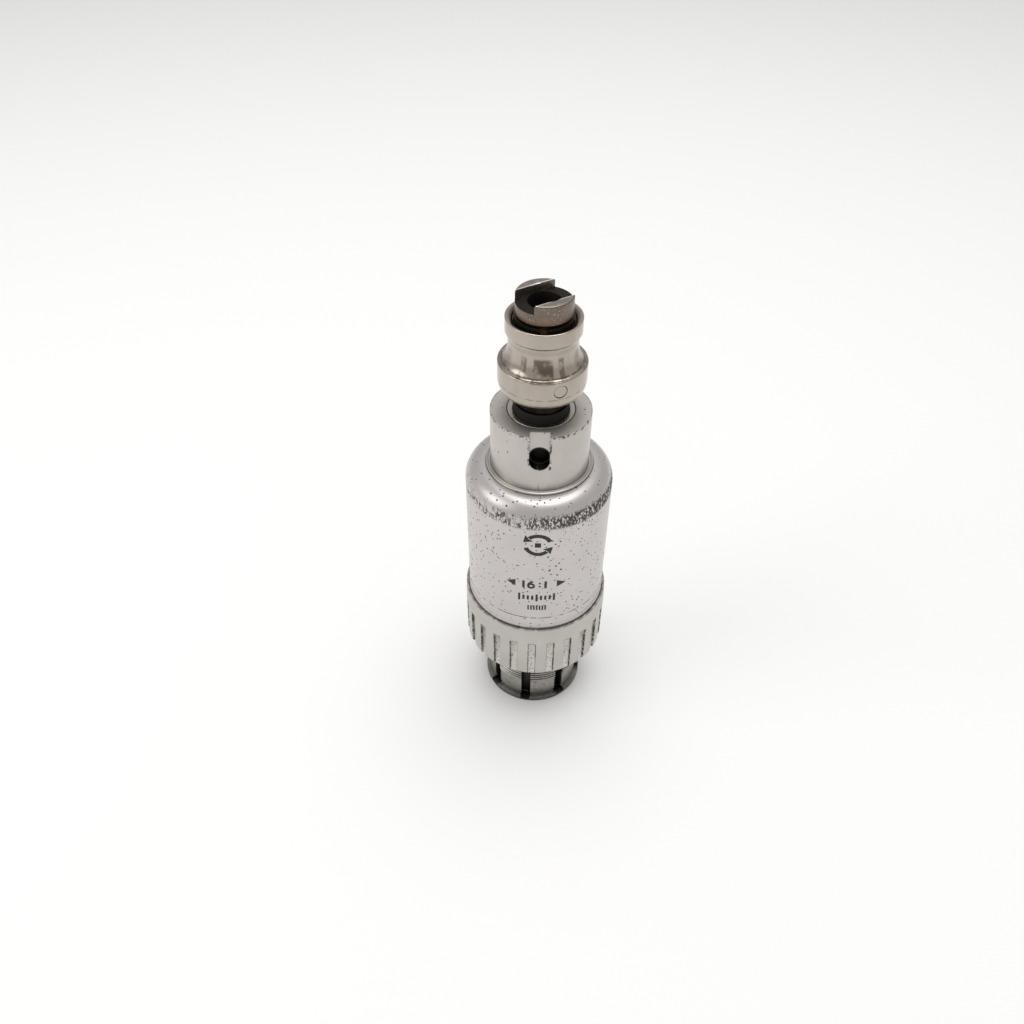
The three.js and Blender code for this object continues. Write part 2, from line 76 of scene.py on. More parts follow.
CASE_FOOT, CASE_TOP = span("case_shell")
NUT_FOOT, NUT_TOP = span("coupling_nut")
SLEEVE_FOOT, SLEEVE_TOP = span("coupling_sleeve")
NOSE_FOOT, NOSE_TOP = span("nose_housing")
LOCK_FOOT, LOCK_TOP = span("nose_lock_ring")
BUSH_FOOT, BUSH_TOP = span("nose_bush")
SEAL_FOOT, SEAL_TOP = span("wiper_seal")
LINER_FOOT, LINER_TOP = span("socket_liner")
SHAFT_FOOT, SHAFT_TOP = span("output_shaft")
COLLAR_FOOT, COLLAR_TOP = span("release_collar")
PIN_Z = sum(span("cross_pin")) / 2
PIN_R = (span("cross_pin")[1] - span("cross_pin")[0]) / 2
CASE_R = radius("case_shell")
COLLAR_R = radius("release_collar")
BALL_Z = sum(span("lock_ball_1")) / 2

# ---- Driving sizes, in millimetres and degrees ----
SEAT = 0.04  # gap where a piece is seated for good
RUN = 0.1  # gap where one piece turns or slides in another
CASE_WALL = 1.8
CASE_MOUTH = {"r": 11.64, "foot": 67.0}
CASE_BAND = {"swell": 0.14, "above_nut": 0.6, "taper": 0.3}
SHOULDER_R = 4.3
SCRIBE_Z = 38.3
SLEEVE_R = 11.28
SLEEVE_BORE = 9.6
LIP_R = 12.3
LIP_TOP = 1.4
LIP_GROOVE = {"r": 11.0, "top": 2.3}
FOOT_RING = 0.36  # height of the ring that closes the fingers' ends
SOCKET_TOP = 27.0
SLEEVE_WEB = {"r": 6.44, "foot": 28.5, "top": 35.5, "bore": 3.8}
LINER_WALL = 0.3
THREAD = {"foot": 7.4, "top": 26.0, "pitch": 0.88, "ridge": 0.3}
SLITS = {"count": 8, "width": 2.4, "top": 22.0, "turn": -8.0}
NUT = {"band": 16.8, "land": 16.95, "bore": 11.7, "skirt": 30.0, "band_foot": 31.8}
NUT_GROOVE = {"r": 13.2, "foot": 27.3, "top": 29.1}
SKIRT_GAP = 0.2
FLUTES = {"count": 24, "width": 1.8, "depth": 0.5, "top": 29.5, "turn": -1.0}
NOSE_R = 10.5
NOSE_BORE = 8.84
NOSE_FLANGE = {"top": 66.9, "step_r": 11.6, "step_top": 69.4}
BUSH_SEAT = 77.8
KEYWAY = {"width": 4.2, "depth": 2.2, "foot": 77.9, "hole_r": 1.95, "hole_depth": 4.0}
LOCK_RING = {"r": 11.56, "chamfer_r": 11.3, "line_r": 11.05}
BUSH_R = 7.0
BUSH_BORE = 5.8
SHAFT_R = 5.2
SHAFT_TAIL = {"r": 4.0, "top": 63.1}
SNAP_GROOVE = {"r": 4.7, "foot": 106.46, "top": 107.44}
TIP_R = SHAFT_R + 0.35
TOOL_BORE = 3.3
TOOL_BORE_FOOT = 80.0
BALL_HOLE_R = 1.3
DRIVE_SLOT = {"half": 3.39, "depth": 1.65, "turn": 33.1}
PIN_TURN = 24.2
COLLAR_TRAVEL = 3.2
COLLAR = {"foot_r": 7.6, "flange_foot": 93.8, "flange_top": 97.7, "waist": 6.85, "waist_z": 101.8,
          "band_foot": 104.2, "top_r": 7.45}
COLLAR_MOUTH = {"r": 6.2, "ledge_r": 6.05, "ledge_top": 106.6, "ledge": 106.4, "cone_top": 105.2,
                "cone_r": 6.13, "cone_foot": 104.6}
WEAR = {"foot": 66.9, "top": 69.2}
SCUFF = {"x": -5.5, "z": 60.5, "r": 5.6}
FLUTED = {"from": 15.6, "to": 16.0}  # radii between which the nut's painted flute-edge shade and grime come in
# heights of the waist band where dark reflections are painted on the collar
DARK_REFLECTION_BAND = {"foot": 97.9, "top": 101.2}
COLLAR_SEAM = 98.0
PRINT_R = CASE_R + 0.012

# ================= Mesh making =================


def arc(r, z, across, up, start, end, steps):
    """Points of an elliptical arc in a profile, from one angle to another in degrees."""
    angles = [radians(start + (end - start) * i / steps) for i in range(steps + 1)]
    return [(r + across * cos(a), z + up * sin(a)) for a in angles]


def eased(profile, size=0.15, steps=3):
    """Rounds each real corner of a closed profile, and leaves the points of arcs alone."""
    points = [Vector(p) for p in profile]
    out = []
    for i, corner in enumerate(points):
        before, after = points[i - 1] - corner, points[(i + 1) % len(points)] - corner
        straight = before.length < 1e-6 or after.length < 1e-6 or (-before).angle(after) < radians(25)
        if corner.x < 1e-6 or straight:
            out.append(tuple(corner))
            continue
        reach = min(size, before.length * 0.4, after.length * 0.4)
        a, b = corner + before.normalized() * reach, corner + after.normalized() * reach
        for k in range(steps + 1):
            t = k / steps
            out.append(tuple(a * (1 - t) ** 2 + corner * 2 * t * (1 - t) + b * t * t))
    return out


def finished(bm, name, smooth_below=35):
    """A mesh object at the origin from a bmesh in millimetres, with its faces pointing outwards."""
    bmesh.ops.remove_doubles(bm, verts=bm.verts, dist=1e-5)
    bmesh.ops.recalc_face_normals(bm, faces=bm.faces)
    bmesh.ops.scale(bm, vec=(MM, MM, MM), verts=bm.verts)
    mesh = bpy.data.meshes.new(name)
    bm.to_mesh(mesh)
    bm.free()
    shade(mesh, smooth_below)
    piece = bpy.data.objects.new(name, mesh)
    bpy.context.scene.collection.objects.link(piece)
    return piece


def shade(mesh, smooth_below=35):
    mesh.polygons.foreach_set("use_smooth", [True] * len(mesh.polygons))
    mesh.set_sharp_from_angle(angle=radians(smooth_below))


def turned(name, profile, steps=168):
    """Turns a closed profile of (radius, height) points about Z."""
    bm = bmesh.new()
    rings = []
    for i in range(steps):
        a = TURN * i / steps
        rings.append([bm.verts.new((r * cos(a), r * sin(a), z)) for r, z in profile])
    for i in range(steps):
        one, two = rings[i], rings[(i + 1) % steps]
        for k in range(len(profile)):
            j = (k + 1) % len(profile)
            if profile[k][0] > 1e-6 or profile[j][0] > 1e-6:
                bm.faces.new((one[k], two[k], two[j], one[j]))
    return finished(bm, name)


def block(name, size, centre, turn=0.0):
    bm = bmesh.new()
    bmesh.ops.create_cube(bm, size=1.0)
    place = Matrix.Rotation(radians(turn), 4, "Z") @ Matrix.Translation(centre)
    bm.transform(place @ Matrix.Diagonal((*size, 1.0)))
    return finished(bm, name)


def bar(name, r, length, z, turn=0.0, centre=0.0, steps=48, rim=0.0):
    """A round bar lying level at height z. Turn 0 points it along -Y, and a rim eases its ends."""
    bm = bmesh.new()
    half = length / 2
    ends = [(r, -half), (r, half)]
    if rim:
        ends = [(r - rim, -half), (r, rim - half), (r, half - rim), (r - rim, half)]
    rings = []
    for ring_r, along in ends:
        rings.append([bm.verts.new((ring_r * cos(TURN * i / steps), along - centre,
                                    z + ring_r * sin(TURN * i / steps))) for i in range(steps)])
    for one, two in zip(rings, rings[1:]):
        for i in range(steps):
            j = (i + 1) % steps
            bm.faces.new((one[i], one[j], two[j], two[i]))
    bm.faces.new(rings[0])
    bm.faces.new(rings[-1])
    bm.transform(Matrix.Rotation(radians(turn), 4, "Z"))
    return finished(bm, name)


def settle(piece):
    """Replaces a piece's mesh with what its modifiers make of it, and removes them."""
    bpy.context.view_layer.update()
    evaluated = piece.evaluated_get(bpy.context.evaluated_depsgraph_get())
    made = bpy.data.meshes.new_from_object(evaluated)
    piece.modifiers.clear()
    old, piece.data = piece.data, made
    bpy.data.meshes.remove(old)
    shade(made)
    return piece


def cut(piece, *cutters):
    """Takes the cutters out of a piece, and clears them away."""
    for cutter in cutters:
        modifier = piece.modifiers.new("cut", "BOOLEAN")
        modifier.operation = "DIFFERENCE"
        modifier.solver = "EXACT"
        modifier.object = cutter
    settle(piece)
    for cutter in cutters:
        bpy.data.objects.remove(cutter)
    return piece


def edged(piece, width=0.08):
    """Breaks the sharp edges that the cuts left."""
    modifier = piece.modifiers.new("edges", "BEVEL")
    modifier.width = width * MM
    modifier.segments = 2
    modifier.limit_method = "ANGLE"
    modifier.angle_limit = radians(50)
    modifier.use_clamp_overlap = True
    return settle(piece)


# ================= Geometry Nodes =================


class Tree:
    """A Geometry Nodes tree with named inputs, which keeps each input's identifier."""

    def __init__(self, name, **inputs):
        self.tree = bpy.data.node_groups.new(name, "GeometryNodeTree")
        face = self.tree.interface
        face.new_socket("Geometry", in_out="INPUT", socket_type="NodeSocketGeometry")
        face.new_socket("Geometry", in_out="OUTPUT", socket_type="NodeSocketGeometry")
        kinds = {int: "NodeSocketInt", float: "NodeSocketFloat", str: "NodeSocketMaterial"}
        self.ids = {}
        for key, kind in inputs.items():
            self.ids[key] = face.new_socket(key, in_out="INPUT", socket_type=kinds[kind]).identifier
        self.given = self.tree.nodes.new("NodeGroupInput").outputs

    def add(self, kind, settings=None, out=0, **values):
        """Adds a node, with underscores in the socket names standing for spaces."""
        node = self.tree.nodes.new(kind)
        for key, value in (settings or {}).items():
            setattr(node, key, value)
        for key, value in values.items():
            sockets = [s for s in node.inputs if s.enabled and s.name == key.replace("_", " ")]
            put(self.tree, sockets[0], value)
        return node.outputs[out]

    def maths(self, operation, a, b=0.0):
        node = self.tree.nodes.new("ShaderNodeMath")
        node.operation = operation
        put(self.tree, node.inputs[0], a)
        put(self.tree, node.inputs[1], b)
        return node.outputs[0]

    def finish(self, geometry):
        material = self.add("GeometryNodeSetMaterial", Geometry=geometry, Material=self.given["Material"])
        last = self.tree.nodes.new("NodeGroupOutput")
        self.tree.links.new(material, last.inputs["Geometry"])
        return self

    def use(self, piece, **values):
        modifier = piece.modifiers.new(self.tree.name, "NODES")
        modifier.node_group = self.tree
        for key, value in values.items():
            modifier[self.ids[key]] = value
        return settle(piece)


def put(tree, socket, value):
    if isinstance(value, bpy.types.NodeSocket):
        tree.links.new(value, socket)
    else:
        socket.default_value = value


def slots_round():
    """Cuts equal upright slots into a piece, spaced evenly round Z."""
    t = Tree("slots_round", Count=int, Width=float, Reach=float, Middle=float, Foot=float, Top=float,
             Turn=float, Material=str)
    given = t.given
    height = t.maths("SUBTRACT", given["Top"], given["Foot"])
    size = t.add("ShaderNodeCombineXYZ", X=given["Width"], Y=given["Reach"], Z=height)
    cutter = t.add("GeometryNodeMeshCube", Size=size)
    middle_z = t.maths("MULTIPLY", t.maths("ADD", given["Top"], given["Foot"]), 0.5)
    front = t.maths("MULTIPLY", given["Middle"], -1.0)
    place = t.add("ShaderNodeCombineXYZ", Y=front, Z=middle_z)
    cutter = t.add("GeometryNodeTransform", Geometry=cutter, Translation=place)
    points = t.add("GeometryNodePoints", Count=given["Count"])
    step = t.maths("DIVIDE", TURN, given["Count"])
    angle = t.maths("ADD", t.maths("MULTIPLY", t.add("GeometryNodeInputIndex"), step), given["Turn"])
    rotation = t.add("ShaderNodeCombineXYZ", Z=angle)
    cutters = t.add("GeometryNodeInstanceOnPoints", Points=points, Instance=cutter, Rotation=rotation)
    cutters = t.add("GeometryNodeRealizeInstances", Geometry=cutters)
    boolean = t.tree.nodes.new("GeometryNodeMeshBoolean")
    boolean.operation = "DIFFERENCE"
    boolean.solver = "EXACT"
    t.tree.links.new(given["Geometry"], boolean.inputs["Mesh 1"])
    t.tree.links.new(cutters, boolean.inputs["Mesh 2"])
    return t.finish(boolean.outputs["Mesh"])


def screw_thread():
    """Winds a four-sided ridge up a helix about Z."""
    t = Tree("screw_thread", Radius=float, Foot=float, Rise=float, Turns=float, Ridge=float, Material=str)
    given = t.given
    helix = t.add("GeometryNodeCurveSpiral", Resolution=72, Rotations=given["Turns"],
                  Start_Radius=given["Radius"], End_Radius=given["Radius"], Height=given["Rise"])
    helix = t.add("GeometryNodeSetCurveNormal", {"mode": "Z_UP"}, Curve=helix)
    section = t.add("GeometryNodeCurvePrimitiveCircle", Resolution=4, Radius=given["Ridge"])
    ridge = t.add("GeometryNodeCurveToMesh", Curve=helix, Profile_Curve=section, Fill_Caps=True)
    lift = t.add("ShaderNodeCombineXYZ", Z=given["Foot"])
    ridge = t.add("GeometryNodeTransform", Geometry=ridge, Translation=lift)
    return t.finish(t.add("GeometryNodeRealizeInstances", Geometry=ridge))


# ================= Materials =================


class Field:
    """A shader socket that takes part in Python sums."""

    def __init__(self, finish, socket):
        self.finish, self.socket = finish, socket

    def _with(self, operation, other, swapped=False):
        pair = (other, self) if swapped else (self, other)
        return self.finish.maths(operation, *pair)

    def __add__(self, other):
        return self._with("ADD", other)

    def __radd__(self, other):
        return self._with("ADD", other, True)

    def __sub__(self, other):
        return self._with("SUBTRACT", other)

    def __rsub__(self, other):
        return self._with("SUBTRACT", other, True)

    def __mul__(self, other):
        return self._with("MULTIPLY", other)

    def __truediv__(self, other):
        return self._with("DIVIDE", other)

    def __neg__(self):
        return self._with("MULTIPLY", -1.0)

    def __abs__(self):
        return self.finish.maths("ABSOLUTE", self, 0.0)


class Finish:
    """A material whose patterns are laid out in millimetres on the object."""

    def __init__(self, name, metallic=1.0, **constants):
        self.material = bpy.data.materials.new(name)
        self.material.use_nodes = True
        self.tree = self.material.node_tree
        self.shader = self.tree.nodes["Principled BSDF"]
        self.shader.inputs["Metallic"].default_value = metallic
        for key, value in constants.items():
            self.shader.inputs[key.replace("_", " ")].default_value = value
        self.point = self.add("ShaderNodeTexCoord", out="Object")
        parts = self.tree.nodes.new("ShaderNodeSeparateXYZ")
        self.tree.links.new(self.point.socket, parts.inputs[0])
        self.x, self.y, self.z = [Field(self, s) / MM for s in parts.outputs]

    def add(self, kind, settings=None, values=None, out=0):
        node = self.tree.nodes.new(kind)
        for key, value in (settings or {}).items():
            setattr(node, key, value)
        for key, value in (values or {}).items():
            self.feed(node.inputs[key], value)
        return Field(self, node.outputs[out])

    def feed(self, socket, value):
        if isinstance(value, Field):
            self.tree.links.new(value.socket, socket)
        else:
            socket.default_value = value

    def maths(self, operation, a, b):
        return self.add("ShaderNodeMath", {"operation": operation}, {0: a, 1: b})

    def noise(self, size, detail=3.0, stretch=(1, 1, 1)):
        """Smooth noise from 0 to 1 with blobs about this many millimetres across."""
        scale = tuple(1 / (MM * size * s) for s in stretch)
        place = self.add("ShaderNodeMapping", None, {"Vector": self.point, "Scale": scale})
        return self.add("ShaderNodeTexNoise", None,
                        {"Vector": place, "Scale": 1.0, "Detail": detail, "Roughness": 0.55}, "Fac")

    def cells(self, size):
        """Distance to the nearest of a scatter of points, 0 at each point."""
        scale = (1 / (MM * size),) * 3
        place = self.add("ShaderNodeMapping", None, {"Vector": self.point, "Scale": scale})
        return self.add("ShaderNodeTexVoronoi", None, {"Vector": place, "Scale": 1.0}, "Distance")

    def step(self, value, low, high):
        """0 below low and 1 above high, or the other way round where low is the larger."""
        return self.add("ShaderNodeMapRange", {"interpolation_type": "SMOOTHSTEP"},
                        {"Value": value, "From Min": low, "From Max": high}, "Result")

    def band(self, value, low, high, soft):
        return self.step(value, low - soft, low) * self.step(value, high + soft, high)

    def mix(self, amount, one, two):
        node = self.tree.nodes.new("ShaderNodeMix")
        node.data_type = "RGBA"
        self.feed(node.inputs["Factor"], amount)
        for socket, value in ((node.inputs[6], one), (node.inputs[7], two)):
            self.feed(socket, value if isinstance(value, Field) else (*value, 1.0))
        return Field(self, node.outputs[2])

    def azimuth(self):
        """Angle round Z in degrees, 0 at the front and positive towards +X."""
        return self.maths("ARCTAN2", self.x, -self.y) * (180 / pi)

    def done(self, colour, roughness, bumps=None, depth=0.02):
        self.feed(self.shader.inputs["Base Color"], colour)
        self.feed(self.shader.inputs["Roughness"], roughness)
        if bumps is not None:
            normal = self.add("ShaderNodeBump", None,
                              {"Height": bumps, "Strength": 0.6, "Distance": depth * MM}, "Normal")
            self.feed(self.shader.inputs["Normal"], normal)
        return self.material


def case_finish():
    """Satin nickel plate, worn through along the shoulder, with pits, scuffs and a scribed line."""
    f = Finish("worn_satin_plate")
    angle = f.azimuth()
    cloud = f.noise(9, 3.0)
    streak = f.noise(2.2, 4.0, (1, 1, 0.18))
    grain = f.noise(0.35, 2.0)
    side = f.step(angle, -60, 55)
    rub = f.band(f.z, WEAR["foot"], WEAR["top"], 0.9) * f.step(f.noise(3.5, 3.0) + side * 0.3, 0.38, 0.66)
    worn = rub * f.step(f.noise(0.42, 3.0, (1, 1, 2.0)) + side * 0.07, 0.47, 0.54)
    loose = f.band(f.z, 61, 69.5, 2.0) * side
    spots = f.step(f.cells(1.15) + (1.0 - f.noise(8, 2.0)) * 0.34, 0.35, 0.30)
    flecks = loose * f.step(f.cells(0.62) + (1.0 - f.noise(4, 2.0)) * 0.42, 0.38, 0.33)
    ring_z = abs(f.z - SCRIBE_Z - (f.noise(5, 2.0) - 0.5) * 0.25)
    scribe = f.step(ring_z, 0.14, 0.06) * f.step(f.noise(1.6, 2.0), 0.44, 0.5)
    dx, dz = f.x - SCUFF["x"], f.z - SCUFF["z"]
    far = f.maths("SQRT", dx * dx + dz * dz, 0.0)
    scuff = f.step(abs(far - SCUFF["r"]), 0.16, 0.05) * f.step(f.noise(0.9, 2.0), 0.5, 0.56)
    scuff = scuff * f.step(f.y, 0.0, -2.0) * f.step(f.z, SCUFF["z"], SCUFF["z"] - 1.0)
    dark = f.maths("MAXIMUM", f.maths("MAXIMUM", worn, spots), f.maths("MAXIMUM", flecks, scribe))
    dark = f.maths("MAXIMUM", dark, scuff)
    plate = f.mix(cloud, (0.53, 0.50, 0.49), (0.66, 0.63, 0.62))
    plate = f.mix(streak * 0.35, plate, (0.45, 0.42, 0.41))
    colour = f.mix(dark * 0.92, plate, (0.07, 0.062, 0.055))
    rough = 0.30 + cloud * 0.08 + grain * 0.06 + dark * 0.28
    return f.done(colour, rough, grain * 0.25 + streak * 0.2 - dark, 0.03)


def nose_finish():
    """The same plate, brighter and cleaner, with nicks at its rim and round the keyway, and painted shade in
    the round end of the keyway.
    """
    f = Finish("bright_satin_plate")
    cloud = f.noise(6, 3.0)
    grain = f.noise(0.3, 2.0)
    turning = f.noise(0.5, 3.0, (12, 12, 0.4))
    half = KEYWAY["width"] / 2
    out = f.maths("SQRT", f.x * f.x + f.y * f.y, 0.0)
    rim = f.band(f.z, NOSE_TOP - 0.5, NOSE_TOP + 0.4, 0.1) * f.step(out, NOSE_R - 0.35, NOSE_R - 0.15) * 0.9
    edge = f.band(abs(f.x), half - 0.1, half + 0.25, 0.12) * f.step(f.y, -8.0, -8.6)
    edge = edge * f.step(f.z, KEYWAY["foot"] - 0.6, KEYWAY["foot"])
    nick = f.maths("MAXIMUM", rim, edge) * f.step(f.noise(0.7, 3.0), 0.52, 0.58)
    # painted shade: the round end of the keyway, below the outer face, is darkened to near black
    up = f.z - (KEYWAY["foot"] + half)
    keyway_end_shade = f.step(f.maths("SQRT", f.x * f.x + up * up, 0.0), half + 0.12, half + 0.04)
    keyway_end_shade = keyway_end_shade * f.step(out, NOSE_R - 0.05, NOSE_R - 0.3) * f.step(f.y, 0.0, -1.0)
    face = f.step(f.z, NOSE_TOP - 0.1, NOSE_TOP - 0.02)
    spots = f.step(f.cells(1.7) + (1.0 - f.noise(6, 2.0)) * 0.34, 0.25, 0.21)
    dark = f.maths("MAXIMUM", nick, spots)
    plate = f.mix(cloud, (0.45, 0.42, 0.395), (0.57, 0.54, 0.51))
    colour = f.mix(dark * 0.9, plate, (0.09, 0.075, 0.065))
    colour = f.mix(keyway_end_shade * 0.9, colour, (0.03, 0.026, 0.024))
    rough = 0.26 + cloud * 0.08 + dark * 0.3 + face * 0.26
    return f.done(colour, rough, turning * 0.3 + grain * 0.2 - dark, 0.02)


def nut_finish():
    """Warm satin steel, with painted shade broken up like grime along the edges and heads of the flutes, and
    a painted highlight on their floors with chips in them.
    """
    f = Finish("fluted_nut_steel")
    pitch = 360 / FLUTES["count"]
    angle = f.azimuth() - FLUTES["turn"] + pitch / 2
    across = abs(f.maths("FLOORED_MODULO", angle, pitch) - pitch / 2) * (NUT["land"] * pi / 180)
    half = FLUTES["width"] / 2
    tall = f.band(f.z, NUT_FOOT + 0.9, FLUTES["top"] + 0.1, 0.1)
    outside = f.step(f.x * f.x + f.y * f.y, FLUTED["from"] ** 2, FLUTED["to"] ** 2)
    broken = f.step(f.noise(1.1, 3.0), 0.42, 0.52)
    # painted shade, broken up like grime: dark bands along the flute edges and at the flute heads
    sides = f.band(across, half - 0.07, half + 0.03, 0.06) * tall * broken
    flute_head_shade = f.step(abs(f.z - FLUTES["top"]), 0.22, 0.1) * f.step(across, half + 0.1, half)
    grime = f.maths("MAXIMUM", sides, flute_head_shade * f.step(f.noise(0.9, 2.0), 0.36, 0.46)) * outside
    floor = f.step(across, half - 0.1, half - 0.2) * tall
    chips = floor * f.step(f.noise(0.5, 3.0), 0.58, 0.62)
    lip = f.step(abs(f.z - NUT_TOP), 0.25, 0.05) * f.step(f.noise(1.4, 2.0), 0.40, 0.55)
    dark = f.maths("MAXIMUM", f.maths("MAXIMUM", grime, chips * 0.8), lip * 0.6)
    cloud = f.noise(7, 3.0)
    grain = f.noise(0.3, 2.0)
    steel = f.mix(cloud, (0.44, 0.42, 0.39), (0.56, 0.54, 0.505))
    # painted highlight: the flute floors are lightened towards pale steel
    steel = f.mix(floor * 0.6, steel, (0.70, 0.68, 0.65))
    colour = f.mix(dark * 0.8, steel, (0.07, 0.058, 0.05))
    return f.done(colour, 0.33 + cloud * 0.08 + dark * 0.3, grain * 0.35 - dark, 0.03)


def collar_finish():
    """Polished steel with a brown cast, fine turning marks and hairline scratches, with painted dark
    reflections round the waist and painted shade in the mouth.
    """
    f = Finish("polished_collar_steel")
    cloud = f.noise(3.5, 3.0, (1, 1, 2.2))
    turning = f.noise(0.28, 3.0, (16, 16, 0.5))
    hair = f.step(f.noise(0.5, 4.0, (0.25, 0.25, 3.0)), 0.66, 0.70)
    hollow = f.band(f.z, DARK_REFLECTION_BAND["foot"], DARK_REFLECTION_BAND["top"], 0.8)
    angle = f.azimuth()
    # painted reflection: dark brown patches round the concave waist, placed by angle
    reflection_patch = f.maths("MAXIMUM", f.band(angle, -13, 15, 3), f.band(angle, -34, -27, 3) * 0.8)
    reflection_patch = f.maths("MAXIMUM", reflection_patch, f.band(angle, 27, 33, 3) * 0.8)
    reflection_patch = f.maths("MAXIMUM", reflection_patch, f.step(abs(angle), 52, 66) * 0.6)
    painted_reflection = hollow * reflection_patch * f.step(f.noise(1.6, 2.0), 0.25, 0.6)
    out = f.maths("SQRT", f.x * f.x + f.y * f.y, 0.0)
    # painted shade: the inside of the mouth, above the balls, is darkened to brown-black
    mouth = f.step(out, COLLAR["top_r"] - 0.3, COLLAR["top_r"] - 1.1) * f.step(f.z, BALL_Z + 2, BALL_Z + 3)
    foot_line = f.step(abs(f.z - COLLAR["flange_foot"]), 0.12, 0.04) * f.step(f.noise(1.4, 2.0), 0.4, 0.5)
    seam = f.step(abs(f.z - COLLAR_SEAM), 0.16, 0.05) * f.step(f.noise(1.2, 2.0), 0.4, 0.5)
    seam = f.maths("MAXIMUM", seam, foot_line)
    steel = f.mix(cloud, (0.36, 0.315, 0.27), (0.50, 0.45, 0.395))
    steel = f.mix(painted_reflection * 0.85, steel, (0.10, 0.07, 0.05))
    steel = f.mix(mouth * 0.88, steel, (0.085, 0.052, 0.034))
    colour = f.mix(f.maths("MAXIMUM", hair * 0.4, seam * 0.7), steel, (0.09, 0.07, 0.055))
    return f.done(colour, 0.17 + cloud * 0.08 + hair * 0.1, turning * 0.6 - hair, 0.008)


def shaft_finish():
    """Ground steel with a brown heat tint towards the tip and bright worn edges, painted near black below the
    tip as shade, with painted shade in the tool bore and on the drive slot floor.
    """
    f = Finish("heat_tinted_shaft")
    cloud = f.noise(1.8, 4.0)
    scratch = f.step(f.noise(0.4, 4.0, (2.2, 0.35, 0.8)), 0.60, 0.66)
    tip = f.step(f.z, COLLAR_TOP - 3, COLLAR_TOP)
    floor = SHAFT_TOP - DRIVE_SLOT["depth"]
    edge = f.step(f.z, SHAFT_TOP - 0.16, SHAFT_TOP - 0.02)
    low = f.step(f.z, floor - 1.0, floor - 2.6) * tip
    # painted shade inside the tool bore and on the drive slot floor
    bore_shade = f.step(f.x * f.x + f.y * f.y, (TOOL_BORE + 0.25) ** 2, TOOL_BORE ** 2)
    turn = radians(DRIVE_SLOT["turn"])
    across = abs(f.y * cos(turn) - f.x * sin(turn))
    half = DRIVE_SLOT["half"]
    slot_floor_shade = f.step(across, half + 0.02, half - 0.1) * f.step(f.z, floor - 0.12, floor - 0.04)
    bore_shade = f.maths("MAXIMUM", bore_shade, slot_floor_shade)
    worn = f.band(across, half - 0.02, half + 0.2, 0.06) * edge
    tint = f.mix(cloud, (0.10, 0.076, 0.058), (0.27, 0.22, 0.18))
    tint = f.mix(low * 0.6, tint, (0.22, 0.13, 0.07))
    tint = f.mix(scratch * 0.55 + edge * 0.25, tint, (0.60, 0.57, 0.53))
    # painted shade: below the tip the shaft is near black, where it stands in the dark gap under the collar
    ground = f.mix(cloud, (0.010, 0.008, 0.007), (0.03, 0.024, 0.020))
    colour = f.mix(tip, ground, tint)
    colour = f.mix(bore_shade * 0.95, colour, (0.02, 0.017, 0.015))
    colour = f.mix(worn * 0.85, colour, (0.78, 0.75, 0.72))
    return f.done(colour, 0.26 + cloud * 0.14 + bore_shade * 0.3, cloud * 0.5 + scratch * 0.5, 0.015)


def sleeve_finish():
    """Bright turned steel above a dark lip, with painted shade turning the inner faces, the slit walls and
    the thread roots black.
    """
    f = Finish("slotted_sleeve_steel")
    cloud = f.noise(2.5, 4.0)
    grain = f.noise(0.3, 2.0)
    rings = f.noise(0.3, 3.0, (14, 14, 0.6))
    out = f.maths("SQRT", f.x * f.x + f.y * f.y, 0.0)
    # painted shade: every face inside the outer radius, the bore and the slit walls, is painted black
    inside = f.step(out, SLEEVE_R - 0.1, SLEEVE_R - 0.5)
    lip = f.step(f.z, LIP_TOP + 0.15, LIP_TOP - 0.1)
    # painted shade in the thread roots, between the ridges
    root = f.step(f.z, THREAD["foot"] - 0.5, THREAD["foot"]) * f.step(out, SLEEVE_R + 0.2, SLEEVE_R + 0.04)
    grime = f.step(f.noise(1.0, 4.0), 0.5, 0.62)
    bright = f.mix(cloud, (0.36, 0.34, 0.315), (0.58, 0.56, 0.525))
    rim = f.mix(cloud, (0.085, 0.08, 0.078), (0.19, 0.18, 0.17))
    colour = f.mix(lip, bright, rim)
    colour = f.mix(grime * 0.35, colour, (0.12, 0.10, 0.09))
    black = f.maths("MAXIMUM", inside, root * 0.9)
    colour = f.mix(black * 0.94, colour, (0.018, 0.015, 0.014))
    return f.done(colour, 0.28 + cloud * 0.15 + black * 0.3, grain * 0.3 + rings * 0.4, 0.015)


def bush_finish():
    """Polished end face, and painted shade down the sides where they sit deep in the nose."""
    f = Finish("nose_bush_steel")
    cloud = f.noise(2, 3.0)
    marks = f.noise(0.25, 3.0, (14, 14, 0.6))
    shade_down_sides = f.step(f.z, BUSH_TOP - 0.12, BUSH_TOP - 0.35)
    steel = f.mix(cloud, (0.42, 0.39, 0.36), (0.56, 0.53, 0.49))
    # painted shade: below its end face the bush is near black, so the hole and bore in the nose look dark
    # inside
    colour = f.mix(shade_down_sides * 0.95, steel, (0.022, 0.018, 0.016))
    return f.done(colour, 0.22 + cloud * 0.1 + shade_down_sides * 0.3, marks, 0.01)


def seal_finish():
    f = Finish("black_seal_rubber", 0.0, IOR=1.3)
    cloud = f.noise(1.5, 3.0)
    grain = f.noise(0.18, 2.0)
    colour = f.mix(cloud, (0.006, 0.005, 0.004), (0.016, 0.013, 0.011))
    return f.done(colour, 0.5 + cloud * 0.2, grain, 0.02)


